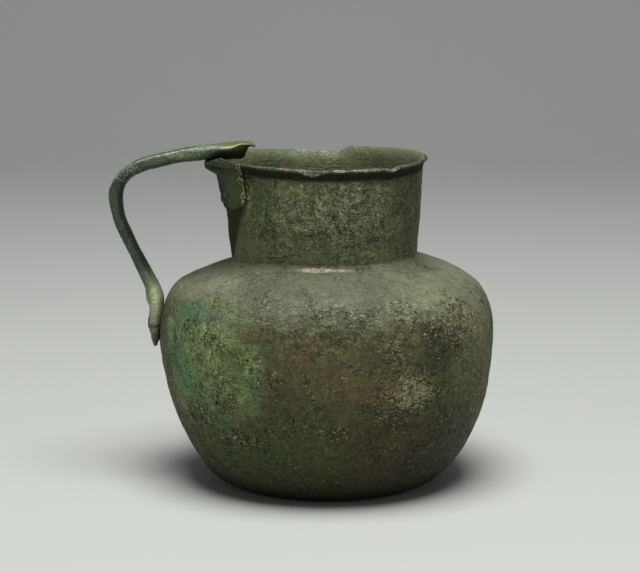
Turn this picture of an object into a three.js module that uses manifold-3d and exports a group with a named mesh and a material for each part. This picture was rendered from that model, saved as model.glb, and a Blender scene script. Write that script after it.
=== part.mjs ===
// A small bronze jug: a vessel raised from one sheet, a cast strap handle, and the riveted plate that
// ties the handle to the neck. Millimetres, +Z up. The origin is the middle of the flat base, on the
// belly's axis. The handle points along -X, and bearings turn anticlockwise from +X, seen from above.
import * as THREE from "three";
import { mergeVertices } from "three/addons/utils/BufferGeometryUtils.js";
import Module from "manifold-3d";

const wasm = await Module();
wasm.setup();

// Driving dimensions of the vessel
const wall = 1.2; // thickness of the raised sheet
const baseRadius = 29.4; // the flat that the jug stands on
const bellyRadius = 52.1;
const bellyHeight = 46; // where the belly is widest
const neckFoot = 71.6; // where the neck leaves the shoulder
const neckFootRadius = 28.9;
const neckTopRadius = 31; // just under the lip
const lipStart = 96.4; // the neck turns outwards here
const rimHeight = 100.6;
const rimRadius = 32.9;
const lipThickness = 0.9; // the sheet is hammered thinner at its edge
const lipRound = 0.4; // the edge is rounded over this height
const turns = 76; // facets round the vessel

// The hand-made unevenness of the vessel
const neckLean = { atFoot: -0.7, atRim: -1.75 }; // the neck stands a little towards the handle
const rimWave = { lift: 0.9, crestBearing: 20 }; // the mouth is slightly saddle-shaped
const lipDents = [
  { name: "front fold", bearing: 266, before: 12, after: 8, drop: 1.6, outwards: 0.9 },
  { name: "front right kink", bearing: 311, before: 7, after: 7, drop: 1, outwards: -0.5 },
  { name: "back step", bearing: 80, before: 8, after: 55, drop: 1.7, outwards: -0.3 },
];
// The shoulder sits lower by the handle, most between the heights full and fading.
const shoulderSag = { bearing: 180, spread: 75, drop: 2.4, start: 60, full: 69, fading: 74, gone: 92 };
const bellyDents = [
  { name: "right hollow", bearing: 312, height: 37, reach: 17, depth: 0.8 },
  { name: "left flat", bearing: 208, height: 38, reach: 16, depth: 0.7 },
  { name: "back hollow", bearing: 70, height: 30, reach: 20, depth: 0.7 },
  { name: "low left flat", bearing: 188, height: 14, reach: 17, depth: 0.5 },
  { name: "low right swell", bearing: 352, height: 21, reach: 18, depth: -0.4 },
  { name: "left swell", bearing: 180, height: 43, reach: 24, depth: -0.4 },
];
const dentFade = { none: 30, full: 44 }; // radii between which a belly dent dies out towards its ends

// Fit between the pieces
const gap = 0.3; // room left between touching pieces
const holeRoom = 0.3; // a rivet hole is this much wider all round than its rivet

// Driving dimensions of the neck plate, which hugs the neck under the handle
const plate = {
  bottom: 86.8,
  top: 100.5, // under the strap
  cornerTop: 101.9, // its upper corners stand up past the lip
  halfAngle: 41, // degrees either side of the handle
  bottomHalfAngle: 19,
  cornerHeight: 4.2, // the lower corners are rounded over this height
  thickness: 1.5, // under the flange, thinning downwards
  edgeThickness: 0.65, // at its lower edge
  taperHeight: 9, // from the lower edge to where it is full
  flangeStart: 96.3, // above this it flares into a flange under the strap
  flangeFull: 99.2,
  flangeRadius: 36.3,
  flangeHalfAngle: 8, // the flange keeps its full radius this far either side of the handle
  cornerFrom: 12, // degrees over which its top edge climbs to the corners
  cornerTo: 20,
};

// Rivets, set flush: the head fills a countersink and stands up only in a low dome.
const rivet = {
  shank: 0.9,
  head: 1.7,
  sink: 0.75, // depth of the countersink
  headHeight: 0.2,
  tail: 1.7,
  tailHeight: 0.5,
  facets: 16,
};
const neckRivets = [
  { name: "neck_rivet_front", bearing: 180 + 23, height: 92.2 },
  { name: "neck_rivet_rear", bearing: 180 - 23, height: 92.2 },
  { name: "neck_rivet_lower", bearing: 180, height: 89.4 },
];
const leafRivets = [
  { name: "leaf_rivet_front", side: -3.4, height: 50 },
  { name: "leaf_rivet_rear", side: 3.4, height: 50 },
];
const leafFace = -55.8; // the leaf's outer face, along X, where they pass through it

// Driving dimensions of the handle. The stations follow the strap from the tip over the mouth to the
// tip of the leaf: x and z of its middle line, the width across, the thickness at its edges, how far
// the edges turn outwards, and how much deeper the middle is underneath.
const handleStations = [
  { x: -22.3, z: 104.9, width: 3.4, thick: 0.8, curl: 0, keel: 0 },
  { x: -24, z: 105.6, width: 8.2, thick: 0.9, curl: 0.2, keel: 0.3 },
  { x: -26.4, z: 105.6, width: 11.6, thick: 1, curl: 0.5, keel: 3.6 },
  { x: -29.3, z: 105.1, width: 13, thick: 1.2, curl: 0.6, keel: 3.5 },
  { x: -33, z: 104.3, width: 12.4, thick: 2.2, curl: 0.5, keel: 2.1 },
  { x: -38.6, z: 102.95, width: 9.6, thick: 4.4, curl: 0.1, keel: 0 },
  { x: -45, z: 102.15, width: 8.2, thick: 4.3, curl: 0, keel: 0 },
  { x: -51.3, z: 100.85, width: 8, thick: 4.4, curl: 0, keel: 0 },
  { x: -57.3, z: 99.3, width: 8, thick: 4.3, curl: 0, keel: 0 },
  { x: -62.2, z: 96.5, width: 8, thick: 4, curl: 0, keel: 0 },
  { x: -65.5, z: 92, width: 8, thick: 4.8, curl: 0, keel: 0 },
  { x: -65.1, z: 83.8, width: 8, thick: 4, curl: 0, keel: 0 },
  { x: -62, z: 76, width: 8, thick: 3.8, curl: 0, keel: 0 },
  { x: -58.4, z: 68.5, width: 8.4, thick: 4, curl: 0, keel: 0 },
  { x: -55.3, z: 62, width: 10, thick: 4.5, curl: -0.2, keel: 0 },
  { x: -54.1, z: 57.9, width: 12.4, thick: 5.2, curl: -0.5, keel: 0 },
  { x: -53.9, z: 54.2, width: 13.8, thick: 3.7, curl: -0.6, keel: 0 },
  { x: -54.4, z: 49.6, width: 13.2, thick: 3.3, curl: -0.5, keel: 0 },
  { x: -54.1, z: 45.6, width: 9.4, thick: 2.7, curl: -0.3, keel: 0 },
  { x: -54, z: 42, width: 2.6, thick: 1.1, curl: 0, keel: 0 },
];
const handleRings = 57;
const handleSides = 18;
// How square the section is on its outer side and underneath: 2 is an oval, and more is squarer
const strapSquareness = { outside: 4.4, underneath: 2.3 };
// Two stubs under the strap seat in the plate's flange. The root is the part inside the strap.
const stub = { x: -36.3, side: 2.6, radius: 0.65, length: 1.1, root: 1, facets: 14 };

// Solids: a closed three.js geometry as a solid for cutting, and back again
function toSolid(geometry) {
  const plain = geometry.clone();
  plain.deleteAttribute("normal");
  plain.deleteAttribute("uv");
  const merged = mergeVertices(plain, 1e-4);
  const mesh = new wasm.Mesh({
    numProp: 3,
    vertProperties: new Float32Array(merged.attributes.position.array),
    triVerts: new Uint32Array(merged.index.array),
  });
  mesh.merge();
  return new wasm.Manifold(mesh);
}

function toGeometry(solid) {
  const { vertProperties, triVerts } = solid.getMesh();
  const geometry = new THREE.BufferGeometry();
  geometry.setAttribute("position", new THREE.BufferAttribute(vertProperties, 3));
  geometry.setIndex(new THREE.BufferAttribute(triVerts, 1));
  return geometry;
}

// A solid skinned over rings that all have the same number of points, closed by a fan at each end.
function loft(rings) {
  const count = rings[0].length;
  const middle = (ring) =>
    ring.reduce((sum, point) => sum.add(point), new THREE.Vector3()).divideScalar(count);
  const points = [...rings.flat(), middle(rings[0]), middle(rings.at(-1))];
  const first = points.length - 2;
  const last = points.length - 1;
  const faces = [];
  for (let i = 0; i < count; i++) {
    const next = (i + 1) % count;
    faces.push(first, next, i);
    for (let r = 0; r + 1 < rings.length; r++) {
      const low = r * count;
      const high = low + count;
      faces.push(low + i, low + next, high + next, low + i, high + next, high + i);
    }
    const end = (rings.length - 1) * count;
    faces.push(last, end + i, end + next);
  }
  return new THREE.BufferGeometry().setFromPoints(points).setIndex(faces);
}

const { smoothstep, lerp, clamp, degToRad: radians, radToDeg: degrees } = THREE.MathUtils;

// Vessel profile
// The outer line runs from the edge of the flat base up to the lip, as radius and height.
function outerProfile() {
  const belly = new THREE.SplineCurve([
    new THREE.Vector2(baseRadius, 0),
    new THREE.Vector2(baseRadius + 4.4, 1.2),
    new THREE.Vector2(38.2, 4.7),
    new THREE.Vector2(42.5, 10.2),
    new THREE.Vector2(47.4, 20.5),
    new THREE.Vector2(50.6, 32.5),
    new THREE.Vector2(bellyRadius, bellyHeight),
    new THREE.Vector2(51.2, 54.4),
    new THREE.Vector2(47.7, 61.7),
    new THREE.Vector2(41.2, 66.3),
    new THREE.Vector2(34.6, 69),
  ]);
  const shoulderTurn = new THREE.QuadraticBezierCurve(
    new THREE.Vector2(31.4, 70.1),
    new THREE.Vector2(neckFootRadius + 0.2, 70.8),
    new THREE.Vector2(neckFootRadius, neckFoot + 0.7),
  );
  const lip = new THREE.QuadraticBezierCurve(
    new THREE.Vector2(neckTopRadius, lipStart),
    new THREE.Vector2(neckTopRadius + 0.1, 99.6),
    new THREE.Vector2(rimRadius, rimHeight),
  );
  const neck = [0.35, 0.7].map(
    (t) =>
      new THREE.Vector2(
        lerp(neckFootRadius, neckTopRadius, t),
        lerp(neckFoot, lipStart, t),
      ),
  );
  return [...belly.getPoints(17), ...shoulderTurn.getPoints(3), ...neck, ...lip.getPoints(4)];
}

const outer = outerProfile();

// The same line moved off by a distance along its own normals: inwards for the inner face of the
// wall, outwards for the room that other pieces leave round the vessel.
function offsetProfile(distance) {
  return outer.map((point, i) => {
    const before = outer[Math.max(i - 1, 0)];
    const after = outer[Math.min(i + 1, outer.length - 1)];
    const along = after.clone().sub(before).normalize();
    return new THREE.Vector2(point.x + along.y * distance, point.y - along.x * distance);
  });
}

// Outer radius of the plain vessel at a height
function radiusAt(height) {
  const next = outer.findIndex((point, i) => i > 0 && point.y >= height);
  const a = outer[next - 1];
  const b = outer[next];
  return lerp(a.x, b.x, (height - a.y) / (b.y - a.y));
}

// How far the neck's axis stands from the belly's axis at a height, along X
function leanAt(height) {
  const foot = smoothstep(height, 60, neckFoot) * neckLean.atFoot;
  const rise = clamp((height - neckFoot) / (rimHeight - neckFoot), 0, 1.1);
  return foot + rise * (neckLean.atRim - neckLean.atFoot);
}

// Turn from bearing b to bearing a the short way round, in degrees, with its sign
function turnFrom(a, b) {
  return ((((a - b) % 360) + 540) % 360) - 180;
}

// Moves one point of the plain vessel to where the hammer and the years have left it.
function weather(point) {
  const bearing = degrees(Math.atan2(point.y, point.x));
  const outwards = new THREE.Vector3(point.x, point.y, 0).normalize();
  const lipShare = smoothstep(point.z, lipStart - 2, rimHeight);
  const crest = Math.cos(radians(2 * (bearing - rimWave.crestBearing)));
  const moved = point.clone();
  moved.z += (smoothstep(point.z, neckFoot, rimHeight) * rimWave.lift * (1 + crest)) / 2;
  for (const dent of lipDents) {
    const turn = turnFrom(bearing, dent.bearing);
    const near = Math.max(0, 1 - Math.abs(turn) / (turn < 0 ? dent.before : dent.after));
    moved.z -= lipShare * dent.drop * near ** 1.4;
    moved.addScaledVector(outwards, lipShare * dent.outwards * near);
  }
  for (const dent of bellyDents) {
    const across = radians(turnFrom(bearing, dent.bearing)) * bellyRadius;
    const away = Math.hypot(across, point.z - dent.height) / dent.reach;
    const share = 1 - smoothstep(away, 0, 1);
    const sides = smoothstep(Math.hypot(point.x, point.y), dentFade.none, dentFade.full);
    moved.addScaledVector(outwards, -share * sides * dent.depth);
  }
  const sag = shoulderSag;
  const sagAngle = Math.min(Math.abs(turnFrom(bearing, sag.bearing)) / sag.spread, 1);
  const sagRise = smoothstep(point.z, sag.start, sag.full);
  const sagFade = 1 - smoothstep(point.z, sag.fading, sag.gone);
  moved.z -= sag.drop * sagRise * sagFade * Math.cos((sagAngle * Math.PI) / 2) ** 2;
  moved.x += leanAt(point.z);
  return moved;
}

// Revolves a closed profile about Z and weathers it.
function revolve(profile) {
  const geometry = new THREE.LatheGeometry(profile, turns).rotateX(Math.PI / 2);
  const position = geometry.attributes.position;
  const point = new THREE.Vector3();
  for (let i = 0; i < position.count; i++) {
    point.fromBufferAttribute(position, i);
    position.setXYZ(i, ...weather(point).toArray());
  }
  return geometry;
}

// Vessel: one raised sheet, pierced for the rivets
function vesselGeometry() {
  const inner = offsetProfile(-wall);
  inner.at(-1).set(rimRadius - lipThickness, rimHeight + lipRound / 2);
  const shell = revolve([
    new THREE.Vector2(0, 0),
    ...outer,
    new THREE.Vector2(rimRadius - lipThickness / 2, rimHeight + lipRound),
    ...inner.reverse(),
    new THREE.Vector2(0, wall),
  ]);
  let solid = toSolid(shell);
  for (const hole of [...neckRivets.map(neckSeat), ...leafRivets.map(leafSeat)]) {
    solid = solid.subtract(holeSolid(hole));
  }
  return toGeometry(solid);
}

// A filled vessel a little larger all round, cut from whatever lies against the real one. Above the
// lip it goes on as far as it is told.
function vesselRoom(above = gap) {
  const top = rimHeight + lipRound + above;
  return toSolid(
    revolve([
      new THREE.Vector2(0, -gap),
      ...offsetProfile(gap),
      new THREE.Vector2(rimRadius + gap, top),
      new THREE.Vector2(0, top),
    ]),
  );
}

// Thickness of the plate at a height
function plateThickness(height) {
  const rise = clamp((height - plate.bottom) / plate.taperHeight, 0, 1);
  return lerp(plate.edgeThickness, plate.thickness, rise);
}

// Rivet seats
// A seat is where a rivet's head meets the outside of the stack, the direction it points, and the
// thickness that it holds together.
function neckSeat({ name, bearing, height }) {
  const direction = new THREE.Vector3(Math.cos(radians(bearing)), Math.sin(radians(bearing)), 0);
  const outside = gap + plateThickness(height);
  const place = direction.clone().multiplyScalar(radiusAt(height) + outside);
  place.x += leanAt(height);
  place.z = height;
  return { name, place, direction, stack: outside + wall };
}

function leafSeat({ name, side, height }) {
  const innerRadius = radiusAt(height + rivet.tail) - wall;
  const back = Math.sqrt(innerRadius ** 2 - (Math.abs(side) + rivet.tail) ** 2);
  return {
    name,
    place: new THREE.Vector3(leafFace, side, height),
    direction: new THREE.Vector3(-1, 0, 0),
    stack: -leafFace - back,
  };
}

// Turns a shape that is made along +Y so that +Y points along the seat, and moves it there.
function toSeat(geometry, { place, direction }) {
  const turn = new THREE.Quaternion().setFromUnitVectors(new THREE.Vector3(0, 1, 0), direction);
  return geometry.applyQuaternion(turn).translate(...place.toArray());
}

// The countersunk hole for a rivet, and on both sides far enough to cut right through
function holeSolid(seat) {
  const points = [
    [0, -seat.stack - 2 * wall],
    [rivet.shank + holeRoom, -seat.stack - 2 * wall],
    [rivet.shank + holeRoom, -rivet.sink],
    [rivet.head + holeRoom, 0],
    [rivet.head + holeRoom, 2 * wall],
    [0, 2 * wall],
  ].map(([radius, height]) => new THREE.Vector2(radius, height));
  return toSolid(toSeat(new THREE.LatheGeometry(points, rivet.facets), seat));
}

// A rivet with a conical head, and a tail hammered over on the inside
function rivetGeometry(seat) {
  const tailTop = -seat.stack - gap;
  const dome = (radius, from, height) =>
    [0, 30, 60, 90].map((angle) => {
      const share = radians(angle);
      const out = angle < 90 ? Math.cos(share) * radius : 0;
      return new THREE.Vector2(out, from + Math.sin(share) * height);
    });
  const points = [
    ...dome(rivet.tail, tailTop, -rivet.tailHeight).reverse(),
    new THREE.Vector2(rivet.shank, tailTop),
    new THREE.Vector2(rivet.shank, -rivet.sink),
    ...dome(rivet.head, 0, rivet.headHeight),
  ];
  return toSeat(new THREE.LatheGeometry(points, rivet.facets), seat);
}

// Neck plate: a shield-shaped sheet bent round the neck. It flares into a flange under the strap, and
// its upper corners rise past the lip.
function plateGeometry() {
  const steps = 16;
  const heights = [0, 0.5, 1.3, 2.6, 4.2, 6.5, 9, 10.2, 11.4, 12.6, 13.5, plate.top - plate.bottom];
  const rings = heights.map((rise) => {
    const height = plate.bottom + rise;
    const corner = Math.min(rise / plate.cornerHeight, 1);
    const half = lerp(plate.bottomHalfAngle, plate.halfAngle, Math.sqrt(1 - (1 - corner) ** 2));
    const flare = smoothstep(height, plate.flangeStart, plate.flangeFull);
    const seat = radiusAt(Math.min(height, outer.at(-1).y)) + gap;
    const inside = seat - wall; // the room cut gives the true inner face
    const stretch = smoothstep(height, plate.flangeStart, plate.top) * (plate.cornerTop - plate.top);
    const arc = (radius, flared, from, to) =>
      Array.from({ length: steps + 1 }, (_, i) => {
        const offset = lerp(from, to, i / steps);
        const angle = radians(180 + offset);
        const away = smoothstep(Math.abs(offset), plate.flangeHalfAngle, plate.halfAngle);
        const reach = lerp(radius, plate.flangeRadius, flared * (1 - away));
        return new THREE.Vector3(
          Math.cos(angle) * reach + leanAt(height),
          Math.sin(angle) * reach,
          height + stretch * smoothstep(Math.abs(offset), plate.cornerFrom, plate.cornerTo),
        );
      });
    return [
      ...arc(seat + plateThickness(height), flare, -half, half),
      ...arc(inside, 0, half, -half),
    ];
  });
  let solid = toSolid(loft(rings)).subtract(vesselRoom(plate.cornerTop - plate.top + 1));
  for (const hole of neckRivets.map(neckSeat)) {
    solid = solid.subtract(holeSolid(hole));
  }
  for (const side of [-stub.side, stub.side]) {
    solid = solid.subtract(stubSolid(side, holeRoom));
  }
  return toGeometry(solid);
}

// One of the two stubs under the strap, or with room the socket that it seats in
function stubSolid(side, room = 0) {
  const top = plate.top + gap + stub.root;
  const bottom = plate.top - stub.length - room;
  const radius = stub.radius + room;
  const peg = new THREE.CylinderGeometry(radius, radius, top - bottom, stub.facets);
  return toSolid(peg.rotateX(Math.PI / 2).translate(stub.x, side, (top + bottom) / 2));
}

// Handle: one casting, with a spreading tip over the mouth and a leaf that lies on the belly
function handleGeometry() {
  const line = new THREE.CatmullRomCurve3(
    handleStations.map(({ x, z }) => new THREE.Vector3(x, 0, z)),
    false,
    "centripetal",
  );
  const form = new THREE.CatmullRomCurve3(
    handleStations.map(({ width, thick, curl }) => new THREE.Vector3(width, thick, curl)),
  );
  const depth = new THREE.SplineCurve(handleStations.map(({ keel }, i) => new THREE.Vector2(i, keel)));
  const rounded = (value, square) => Math.sign(value) * Math.abs(value) ** (2 / square);
  const rings = Array.from({ length: handleRings + 1 }, (_, r) => {
    const t = r / handleRings;
    const middle = line.getPoint(t);
    const along = line.getTangent(t);
    const outwards = new THREE.Vector3(along.z, 0, -along.x);
    const { x: width, y: thick, z: curl } = form.getPoint(t);
    const keel = Math.max(depth.getPoint(t).y, 0);
    return Array.from({ length: handleSides }, (_, s) => {
      const angle = (-s / handleSides) * Math.PI * 2;
      const square = Math.sin(angle) > 0 ? strapSquareness.outside : strapSquareness.underneath;
      const across = rounded(Math.cos(angle), square);
      const face = rounded(Math.sin(angle), square);
      const under = keel * Math.max(-face, 0) * (1 - across ** 4);
      const rise = (face * thick) / 2 + curl * across ** 2 - under;
      return middle
        .clone()
        .add(new THREE.Vector3(0, (across * width) / 2, 0))
        .addScaledVector(outwards, rise);
    });
  });
  let solid = toSolid(loft(rings)).subtract(vesselRoom());
  for (const hole of leafRivets.map(leafSeat)) {
    solid = solid.subtract(holeSolid(hole));
  }
  for (const side of [-stub.side, stub.side]) {
    solid = solid.add(stubSolid(side));
  }
  return toGeometry(solid);
}

// Materials: bronze under different depths of patina
const patina = {
  vessel: new THREE.MeshStandardMaterial({ color: 0x4c5138, roughness: 0.72, metalness: 0.35 }),
  handle: new THREE.MeshStandardMaterial({ color: 0x5f6a55, roughness: 0.58, metalness: 0.45 }),
  plate: new THREE.MeshStandardMaterial({ color: 0x3a4230, roughness: 0.65, metalness: 0.4 }),
  rivet: new THREE.MeshStandardMaterial({ color: 0x6a6f52, roughness: 0.6, metalness: 0.5 }),
};

function piece(name, geometry, material) {
  const mesh = new THREE.Mesh(geometry, material);
  mesh.name = name;
  return mesh;
}

const jug = new THREE.Group();
jug.add(
  piece("vessel", vesselGeometry(), patina.vessel),
  piece("handle", handleGeometry(), patina.handle),
  piece("neck_plate", plateGeometry(), patina.plate),
);
for (const seat of [...neckRivets.map(neckSeat), ...leafRivets.map(leafSeat)]) {
  jug.add(piece(seat.name, rivetGeometry(seat), patina.rivet));
}

export default jug;
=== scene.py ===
import math

import bmesh
import bpy
from mathutils import Matrix, Vector, noise


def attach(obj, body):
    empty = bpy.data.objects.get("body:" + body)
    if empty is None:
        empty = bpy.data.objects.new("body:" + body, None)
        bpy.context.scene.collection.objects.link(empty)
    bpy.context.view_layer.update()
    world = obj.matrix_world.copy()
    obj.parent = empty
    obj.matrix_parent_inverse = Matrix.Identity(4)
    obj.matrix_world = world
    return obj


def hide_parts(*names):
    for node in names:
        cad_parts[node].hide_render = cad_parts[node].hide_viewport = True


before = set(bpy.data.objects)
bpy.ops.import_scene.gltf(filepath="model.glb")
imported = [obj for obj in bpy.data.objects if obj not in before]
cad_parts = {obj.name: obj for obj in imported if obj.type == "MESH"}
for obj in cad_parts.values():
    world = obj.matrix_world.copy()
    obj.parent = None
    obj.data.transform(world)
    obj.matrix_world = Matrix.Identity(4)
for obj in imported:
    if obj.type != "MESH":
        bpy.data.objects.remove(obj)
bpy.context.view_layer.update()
print("frame loaded:", len(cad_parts), "nodes")

mm = 0.001


# small helpers for numbers and curves

def between(low, high, share):
    return low + (high - low) * share


def ease(value, low, high):
    share = min(max((value - low) / (high - low), 0.0), 1.0)
    return share * share * (3 - 2 * share)


def turnFrom(bearing, other):
    return (bearing - other + 540) % 360 - 180


def bend(points, share, pull=0.5):
    # smooth curve through the points; a pull of 0 spaces them evenly
    place = share * (len(points) - 1)
    index = min(int(place), len(points) - 2)
    chain = [points[0] * 2 - points[1], *points, points[-1] * 2 - points[-2]]
    p0, p1, p2, p3 = chain[index:index + 4]
    d0 = max((p1 - p0).length, 1e-6) ** pull
    d1 = max((p2 - p1).length, 1e-6) ** pull
    d2 = max((p3 - p2).length, 1e-6) ** pull
    leave = ((p1 - p0) / d0 - (p2 - p0) / (d0 + d1) + (p2 - p1) / d1) * d1
    reach = ((p2 - p1) / d1 - (p3 - p1) / (d1 + d2) + (p3 - p2) / d2) * d1
    step = place - index
    square = ((p2 - p1) * 3 - leave * 2 - reach) * step ** 2
    return p1 + leave * step + square + ((p1 - p2) * 2 + leave + reach) * step ** 3


def lumps(point, size, seed=0.0):
    # rough noise from about -1 to 1, with lumps about size across, in millimetres
    place = Vector(point) / size + Vector((seed, seed * 1.7, seed * 2.3))
    return noise.fractal(place, 0.9, 2.1, 3, noise_basis="PERLIN_ORIGINAL")


def finishPiece(bm, name, slotName, *nodeNames):
    # bm is in millimetres
    bmesh.ops.scale(bm, vec=(mm, mm, mm), verts=bm.verts)
    mesh = bpy.data.meshes.new(name)
    bm.to_mesh(mesh)
    bm.free()
    mesh.shade_smooth()
    piece = bpy.data.objects.new(name, mesh)
    bpy.context.collection.objects.link(piece)
    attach(piece, "root")
    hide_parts(*nodeNames)
    return piece


# camera

cameraSettings = {
    "lens": 125.7,
    "distance": 700 * mm,
    "elevation": 10,
    "aim": (-2.29 * mm, 0, 61 * mm),
}


def makeCamera(settings):
    data = bpy.data.cameras.new("studioCamera")
    data.lens = settings["lens"]
    data.sensor_width = 36
    data.clip_start = 0.05
    data.clip_end = 20
    camera = bpy.data.objects.new("studioCamera", data)
    tilt = math.radians(settings["elevation"])
    back = Vector((0, -math.cos(tilt), math.sin(tilt)))
    camera.location = Vector(settings["aim"]) + back * settings["distance"]
    camera.rotation_euler = (-back).to_track_quat("-Z", "Y").to_euler()
    bpy.context.collection.objects.link(camera)
    bpy.context.scene.camera = camera


makeCamera(cameraSettings)
print("camera placed")


# vessel: one raised sheet, spun from its profile and then knocked about

vessel = {
    "wall": 1.2,
    "steps": 320,
    "belly": [(29.4, 0), (33.8, 1.2), (38.2, 4.7), (42.5, 10.2), (47.4, 20.5), (50.6, 32.5),
              (52.1, 46), (51.2, 54.4), (47.7, 61.7), (41.2, 66.3), (34.6, 69)],
    "neckFoot": 71.6,
    "neckFootRadius": 28.9,
    "neckTopRadius": 31.0,
    "lipStart": 96.4,
    "rimHeight": 100.6,
    "rimRadius": 32.9,
    "lipThickness": 0.9,
    "lipRound": 0.4,
    "leanAtFoot": -0.7,
    "leanAtRim": -1.75,
    "waveLift": 0.9,
    "waveCrest": 20,
    # bearing, before, after, drop, outwards, share of the drop that the inner edge takes
    "lipDents": [(266, 12, 8, 1.6, 0.9, 0.15), (311, 7, 7, 1.0, -0.5, 0.8),
                 (80, 8, 55, 1.7, -0.3, 1.0)],
    "sag": (180, 75, 2.4),
    # bearing, height, reach, depth
    "bellyDents": [(312, 37, 17, 0.8), (208, 38, 16, 0.7), (70, 30, 20, 0.7),
                   (188, 14, 17, 0.5), (352, 21, 18, -0.4), (180, 43, 24, -0.4)],
    # bearing, half width and strength of the stretches where the lip is rubbed bright
    "rubbed": [(254, 10, 0.6), (276, 7, 1.3), (290, 9, 1.0), (303, 9, 1.1), (318, 8, 0.9),
               (91, 17, 1.5)],
    "hammer": 0.25,
    "scale": 0.15,
}


def along(points, count, pull=0.0):
    points = [Vector(point) for point in points]
    return [bend(points, step / count, pull) for step in range(count + 1)]


def roundTurn(a, b, c, count):
    a, b, c = Vector(a), Vector(b), Vector(c)
    shares = [step / count for step in range(count + 1)]
    return [a.lerp(b, share).lerp(b.lerp(c, share), share) for share in shares]


def vesselProfile(sizes):
    foot, top = sizes["neckFootRadius"], sizes["neckTopRadius"]
    low, high = sizes["neckFoot"], sizes["lipStart"]
    line = along(sizes["belly"], 92)
    line += roundTurn((31.4, 70.1), (foot + 0.2, 70.8), (foot, low + 0.7), 6)
    line += [Vector((between(foot, top, step / 26), between(low, high, step / 26)))
             for step in range(1, 26)]
    line += roundTurn((top, high), (top + 0.1, 99.6), (sizes["rimRadius"], sizes["rimHeight"]), 10)
    return line


def radiusAt(line, height):
    for low, high in zip(line, line[1:]):
        if high.y >= height > low.y:
            return between(low.x, high.x, (height - low.y) / (high.y - low.y))
    return line[-1].x


def innerLine(line, wall, every):
    # the line moved inwards by the wall, with every so many of its points
    moved = []
    for index in range(0, len(line) - 1, every):
        before, after = line[max(index - 1, 0)], line[index + 1]
        way = (after - before).normalized()
        moved.append(line[index] + Vector((-way.y, way.x)) * wall)
    return moved


def leanAt(height, sizes):
    foot = ease(height, 60, sizes["neckFoot"]) * sizes["leanAtFoot"]
    rise = (height - sizes["neckFoot"]) / (sizes["rimHeight"] - sizes["neckFoot"])
    rise = min(max(rise, 0), 1.1)
    return foot + rise * (sizes["leanAtRim"] - sizes["leanAtFoot"])


def weather(co, sizes, radiusShare):
    # radiusShare is 1 on the outer edge of the lip and 0 on its inner edge
    bearing = math.degrees(math.atan2(co.y, co.x))
    outwards = Vector((co.x, co.y, 0)).normalized()
    moved = co.copy()
    crest = math.cos(math.radians(2 * (bearing - sizes["waveCrest"])))
    rise = ease(co.z, sizes["neckFoot"], sizes["rimHeight"])
    moved.z += rise * sizes["waveLift"] * (1 + crest) / 2
    lip = ease(co.z, sizes["lipStart"] - 2, sizes["rimHeight"])
    for place, before, after, drop, out, innerShare in sizes["lipDents"]:
        turn = turnFrom(bearing, place)
        near = max(0, 1 - abs(turn) / (before if turn < 0 else after))
        share = between(innerShare, 1, radiusShare)
        moved.z -= lip * drop * near ** 1.4 * share
        moved += outwards * (lip * out * near * share)
    sides = ease(math.hypot(co.x, co.y), 30, 44)
    for place, height, reach, depth in sizes["bellyDents"]:
        across = math.radians(turnFrom(bearing, place)) * 52.1
        share = 1 - ease(math.hypot(across, co.z - height) / reach, 0, 1)
        moved -= outwards * (share * sides * depth)
    place, spread, drop = sizes["sag"]
    angle = min(abs(turnFrom(bearing, place)) / spread, 1)
    height = ease(co.z, 60, 69) * (1 - ease(co.z, 74, 92))
    moved.z -= drop * height * math.cos(angle * math.pi / 2) ** 2
    moved.x += leanAt(co.z, sizes)
    return moved


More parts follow.
